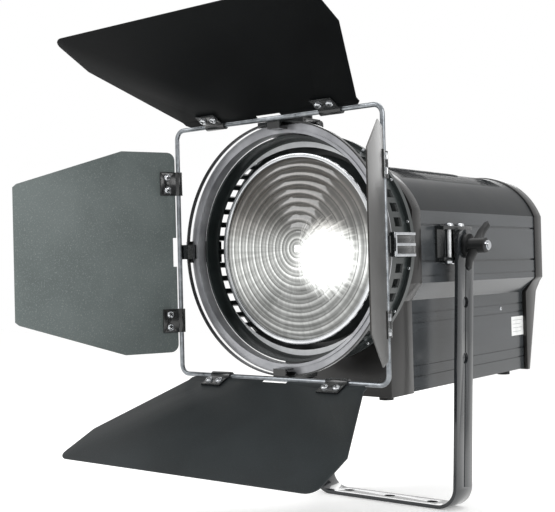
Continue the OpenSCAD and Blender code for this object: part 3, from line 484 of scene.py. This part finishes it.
def cross_mark(bm, point, normal, radius, height, turn):
    """The cross of a screw's recess as painted shade: a dark cross a hair proud of the head."""
    for angle in (turn, turn + math.pi / 2):
        place = facing(point, normal) @ Matrix.Rotation(angle, 4, "Z")
        eased_block(bm, (-radius * 0.55, -radius * 0.13, height - 0.3),
                    (radius * 0.55, radius * 0.13, height + 0.03), 0, place=place)


def skin(bm, rows):
    """Joins equal closed sections into one closed strip."""
    for a, b in zip(rows, rows[1:]):
        for k in range(len(a)):
            bm.faces.new((a[k], a[k - 1], b[k - 1], b[k]))
    bm.faces.new(rows[0])
    bm.faces.new(rows[-1])


def softened(node, width, material):
    """A copy of a CAD piece with its sharp edges eased, as cast, moulded and folded parts have."""
    bm = bmesh.new()
    bm.from_mesh(NODES[node].data)
    bmesh.ops.scale(bm, vec=(1000, 1000, 1000), verts=bm.verts)
    bmesh.ops.remove_doubles(bm, verts=bm.verts, dist=0.002)
    bmesh.ops.dissolve_limit(bm, angle_limit=math.radians(0.6), verts=bm.verts, edges=bm.edges,
                             use_dissolve_boundaries=False)
    sharp = [e for e in bm.edges if e.is_manifold
             and e.calc_face_angle(0) > math.radians(32)]
    bmesh.ops.bevel(bm, geom=sharp, offset=width, offset_type="OFFSET", segments=2,
                    profile=0.5, affect="EDGES", clamp_overlap=True, material=-1)
    bmesh.ops.triangulate(bm, faces=[f for f in bm.faces if len(f.verts) > 4])
    finish_piece(node + "_eased", bm, material, NODES[node]["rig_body"], (node,), PLAIN)


# ---- Lens and its surround ----

def make_lens(f):
    """Ten prism rings: a convex face that leans to the centre, then a steep riser."""
    front, back = LENS_FRONT, LENS_FRONT + LENS_DEPTH
    outline = [(0.001, back), (0.001, front + 1.2)]
    for i in range(1, LENS_STEPS + 1):
        inner, outer = (i - 1) * LENS_PITCH, i * LENS_PITCH - 0.7
        lean = 2.6 * min(1, i / 4)
        for t in (0.0, 0.25, 0.5, 0.75, 1.0):
            y = front + 0.4 + lean * t ** 1.6
            outline.append((inner + (outer - inner) * t + 0.002, y))
        if i < LENS_STEPS:
            outline.append((i * LENS_PITCH - 0.15, front + 0.55))
    outline += [(LENS_RADIUS - 0.8, front + 3.3), (LENS_RADIUS, front + 4.2),
                (LENS_RADIUS, back)]
    bm = bmesh.new()
    turned(bm, outline, 160)
    finish_piece("lens_prisms", bm, f["lens"], "head", ("fresnel_lens",), sharp=25)
    # Bright rolled clamp ring with a rounded lip
    bm = bmesh.new()
    turned(bm, [(97.0, -193.0), (97.0, -194.2), (97.5, -194.8), (98.6, -195.0),
                (101.0, -195.0), (101.7, -194.7), (102.0, -194.0), (102.0, -193.0)], 160)
    finish_piece("lens_clamp_ring", bm, f["spun"], "head", ("lens_ring",))


def make_hood_rivets(f):
    """Rivets round the hood's mounting flange."""
    heads = bmesh.new()
    circle, flange_front, count = 121.5, -163.0, 16
    for i in range(count):
        turn = math.radians(11.25 + 22.5 * i)
        point = Vector((circle * math.sin(turn), flange_front, circle * math.cos(turn)))
        pan_head(heads, point, (0, -1, 0), 1.7, 0.9)
    finish_piece("hood_flange_rivets", heads, f["chrome"], "head")


def make_baffles(f):
    """Crescent sheets above and below the lens: painted highlight, pale sheets placed where a
    bright crescent of light shows inside the hood.
    """
    bm = bmesh.new()
    outer, front, rear, count = 114.4, -189.0, -188.2, 40
    for middle, span in ((0, 45), (180, 54)):
        rows = []
        for i in range(count + 1):
            part = 2 * i / count - 1
            turn = math.radians(middle + span * part)
            inner = outer - 0.3 - 6.0 * (1 - part * part)
            rows.append([bm.verts.new((r * math.sin(turn), y, r * math.cos(turn)))
                         for r, y in ((outer, front), (inner, front), (inner, rear),
                                      (outer, rear))])
        skin(bm, rows)
    finish_piece("hood_baffles", bm, f["baffle"], "head")


def make_clip_bars(f):
    """Painted highlights on the glossy edges of the fixed clips: bright bars, three along each clip
    and one across its front.
    """
    bm = bmesh.new()
    for turn in (90, 180, 270):
        place = Matrix.Rotation(math.radians(turn), 4, "Y")
        for across in (-10.5, 0, 10.5):
            eased_block(bm, (across - 1.3, -216.6, 137.5), (across + 1.3, -180, 138.4), 0.3, 2,
                        place)
        eased_block(bm, (-11.8, -217.2, 135.8), (11.8, -214.6, 138.2), 0.4, 2, place)
    finish_piece("clip_edge_highlights", bm, f["chrome"], "head")


# ---- Screws on the barn doors ----

# Turn about the beam and opening at rest of each leaf, in degrees
HINGE = {"top": (0, 28), "right": (90, 28), "bottom": (180, 24), "left": (270, 24)}


def hinge_place(side):
    """Axes on a leaf's hinge: X along it, -Y out along the leaf, Z away from the beam."""
    turn, opened = HINGE[side]
    return (HEAD @ Matrix.Rotation(math.radians(turn), 4, "Y")
            @ Matrix.Translation((0, HINGE_Y, HINGE_Z))
            @ Matrix.Rotation(math.radians(-opened), 4, "X"))


def make_leaf_screws(f):
    """Screws through each hinge clamp, with their nuts outside."""
    along, half_stack, radius, height = -14, 2.2, 4.0, 2.6
    for side in HINGE:
        heads, crosses = bmesh.new(), bmesh.new()
        for x in (-83, -69, 69, 83):
            inner, outer = Vector((x, along, -half_stack)), Vector((x, along, half_stack))
            pan_head(heads, inner, (0, 0, -1), radius, height)
            pan_head(heads, outer, (0, 0, 1), radius, 2.4, sides=6, domed=False)
            cross_mark(crosses, inner, (0, 0, -1), radius, height, 0.2 + 0.013 * x)
        place = hinge_place(side)
        finish_piece(f"leaf_screws_{side}", heads, f["chrome"], f"door_{side}",
                     (f"screws_{side}",), place)
        finish_piece(f"leaf_screw_crosses_{side}", crosses, f["recess"], f"door_{side}",
                     (), place)


def make_bracket_screws(f):
    """The vertical screws of the tilt brackets: heads above, nuts below, shanks between."""
    heads, crosses, shanks = bmesh.new(), bmesh.new(), bmesh.new()
    top, bottom, radius, height = BRACKET_TOP, BRACKET_BOTTOM, 5.2, 3.5
    for side in (-1, 1):
        for y in (-18, 8):
            x = side * BRACKET_SCREW_X
            pan_head(heads, (x, y, top), (0, 0, 1), radius, height)
            pan_head(heads, (x, y, bottom), (0, 0, -1), radius, height, sides=6, domed=False)
            cross_mark(crosses, (x, y, top), (0, 0, 1), radius, height, 0.4 + y * 0.05)
            shank = bmesh.ops.create_cone(shanks, cap_ends=True, segments=20, radius1=2.45,
                                          radius2=2.45, depth=top - bottom)["verts"]
            middle = Matrix.Translation((x, y, (top + bottom) / 2))
            bmesh.ops.transform(shanks, matrix=middle, verts=shank)
    finish_piece("bracket_screw_heads", heads, f["chrome"], "head", ("bracket_screws",))
    finish_piece("bracket_screw_crosses", crosses, f["recess"], "head")
    finish_piece("bracket_screw_shanks", shanks, f["white_zinc"], "head")


# ---- Housing trim ----

def make_housing_screws(f):
    """Screws through the side panels, the tray and the rear panel."""
    heads, crosses = bmesh.new(), bmesh.new()
    spots = []
    for side in (-1, 1):
        spots.append(((side * SKIRT_HALF, 149.5, -79.5), (side, 0, 0), 2.6))
        for y in (-60, 40, 140, 200):
            spots.append(((side * 46, y, BODY_BOTTOM), (0, 0, -1), 2.4))
        for z in (60, -60, -140):
            x = side * (52 if z > 0 else 60)
            spots.append(((x, PANEL_FACE, z), (0, 1, 0), 2.6))
    for point, normal, radius in spots:
        pan_head(heads, point, normal, radius, 1.2)
        cross_mark(crosses, point, normal, radius, 1.2, 0.5)
    finish_piece("housing_screws", heads, f["chrome"], "head")
    finish_piece("housing_screw_crosses", crosses, f["recess"], "head")


def make_label(f):
    """A blank label with a few plain rules on the right side panel."""
    bm = bmesh.new()
    eased_block(bm, (SKIRT_HALF, 180, -117), (67.75, 218, -92), 0.1, 1)
    finish_piece("plain_label", bm, f["label"], "head")
    bm = bmesh.new()
    for i in range(4):
        eased_block(bm, (67.72, 184, -97 - 5 * i), (67.78, 212 - 5 * (i % 2), -96.4 - 5 * i), 0)
    finish_piece("label_rules", bm, f["print"], "head")


def make_louvres(f):
    """Low louvres across the crown of the arch."""
    bm = bmesh.new()
    first, pitch, louvres, half_turn, count = -56, 5.5, 32, 19, 12
    low, high = ARCH_RADIUS - 0.3, ARCH_RADIUS + 1.3
    for i in range(louvres):
        y = first + pitch * i
        rows = []
        for k in range(count + 1):
            turn = math.radians(half_turn * (2 * k / count - 1))
            rows.append([bm.verts.new((r * math.sin(turn), y + dy,
                                       ARCH_CENTRE + r * math.cos(turn)))
                         for r, dy in ((low, 0), (high, 0.5), (high, 2.0), (low, 2.5))])
        skin(bm, rows)
    finish_piece("cover_louvres", bm, f["cover_coat"], "head")


# ---- Rear panel ----

def make_rear_details(f):
    """Display bars, inlet blades, socket pins and the marks on the buttons."""
    bm = bmesh.new()
    for row, z in enumerate((41, 34, 27)):
        for i in range(6 - 2 * row):
            eased_block(bm, (-49 + 8 * i, 214.55, z - 1.2), (-43.5 + 8 * i, 214.7, z + 1.2), 0)
    finish_piece("display_bars", bm, f["glow"], "head")
    bm = bmesh.new()
    for x, z in ((-38, -111), (-45, -118), (-31, -118)):
        eased_block(bm, (x - 1.1, 201, z - 2.4), (x + 1.1, 212, z + 2.4), 0.4, 2)
    finish_piece("inlet_blades", bm, f["nickel"], "head")
    bm = bmesh.new()
    for x in (6, 40):
        for i in range(5):
            turn = math.radians(90 + 60 * (i - 2))
            point = (x + 5.5 * math.cos(turn), 203, -115 - 5.5 * math.sin(turn))
            pan_head(bm, point, (0, 1, 0), 0.9, 7, 12)
        for dx, dz in ((-10.3, 12.8), (10.3, -12.8)):
            pan_head(bm, (x + dx, 217, -115 + dz), (0, 1, 0), 1.9, 0.8)
    finish_piece("socket_pins", bm, f["nickel"], "head")
    # Raised arrows and a bar on the button caps
    for node, kind in (("menu", 0), ("up", 1), ("down", 2), ("enter", 3)):
        bm = bmesh.new()
        x, face = BUTTON_FIRST + BUTTON_PITCH * kind, 217.4
        if kind in (1, 2):
            made = bmesh.ops.create_cone(bm, cap_ends=True, segments=3, radius1=2.2,
                                         radius2=2.2, depth=0.3)["verts"]
            turn = Matrix.Rotation(math.radians(90 if kind == 1 else -90), 4, "Z")
            bmesh.ops.transform(bm, matrix=facing((x, face + 0.2, BUTTON_Z), (0, 1, 0)) @ turn,
                                verts=made)
        elif kind == 0:
            for dz in (-1.5, 0, 1.5):
                z = BUTTON_Z + dz
                eased_block(bm, (x - 2, face, z - 0.3), (x + 2, face + 0.3, z + 0.3), 0)
        else:
            pan_head(bm, (x, face, BUTTON_Z), (0, 1, 0), 1.6, 0.3, 16)
        finish_piece(f"button_mark_{node}", bm, f["label"], f"{node}_button")


# ---- Finishes on the CAD pieces that show as they are ----

PLAIN_NODES = {
    "panel_coat": ["side_panel_right", "side_panel_left", "bottom_plate"],
    "cover_coat": ["arch_cover"],
    "heat_paint": ["front_cone", "hood", "lens_holder", "rear_panel", "front_bulkhead"],
    "silver_paint": ["door_ring"], "zinc_wire": ["wire_frame"],
    "chrome": ["knob_stud_right", "knob_stud_left"],
    "lacquer": ["ring_band", "latch_base", "top_latch"],
    "rubber": ["rubber_feet"], "fibre": ["friction_washers"],
    "bowl": ["reflector"],
    "aluminium": ["carriage_plate", "heat_sink"], "case": ["driver_box"],
    "ground_steel": ["guide_rods", "lead_screw"], "board": ["control_board"],
    "abs": ["fan_frame", "fan_rotor", "power_inlet", "button_menu", "button_up", "button_down",
            "button_enter"],
    "nickel": ["data_sockets"], "rocker": ["power_switch"], "phosphor": ["led_module"],
    "window": ["display_window"], "nylon": ["zoom_knob"],
}

EASED_NODES = {
    "yoke": ("yoke_coat", 0.6), "front_bezel": ("enamel", 0.7), "rear_bezel": ("enamel", 0.7),
    "tilt_bracket_right": ("lacquer", 0.4), "tilt_bracket_left": ("lacquer", 0.4),
    "knob_right": ("nylon", 1.2), "knob_left": ("nylon", 1.2),
    "accessory_clips": ("lacquer", 0.35),
    "leaf_top": ("leaf_coat", 0.25), "leaf_bottom": ("lit_leaf_coat", 0.25),
    "leaf_left": ("sheen_leaf_coat", 0.25), "leaf_right": ("toned_leaf_coat", 0.25),
    "clamps_top": ("lacquer", 0.3), "clamps_bottom": ("lacquer", 0.3),
    "clamps_left": ("lacquer", 0.3), "clamps_right": ("lacquer", 0.3),
}


# Nodes that drawn pieces stand in for
REPLACED_NODES = {
    "fresnel_lens": "lens", "lens_ring": "spun", "bracket_screws": "chrome",
    "screws_top": "chrome", "screws_bottom": "chrome", "screws_left": "chrome",
    "screws_right": "chrome",
}


def coat(node, material):
    materials = NODES[node].data.materials
    materials.clear()
    materials.append(material)


def dress(f):
    """Gives every CAD node its finish, and the eased ones their softened copies."""
    for finish, nodes in PLAIN_NODES.items():
        for node in nodes:
            coat(node, f[finish])
    for node, (finish, width) in EASED_NODES.items():
        softened(node, width, f[finish])
        coat(node, f[finish])
    for node, finish in REPLACED_NODES.items():
        coat(node, f[finish])


make_camera()
floor = make_studio()
finishes = make_finishes()
floor.data.materials.append(finishes["floor"])
dress(finishes)
make_lens(finishes)
make_hood_rivets(finishes)
make_baffles(finishes)
make_clip_bars(finishes)
make_leaf_screws(finishes)
make_bracket_screws(finishes)
make_housing_screws(finishes)
make_label(finishes)
make_louvres(finishes)
make_rear_details(finishes)
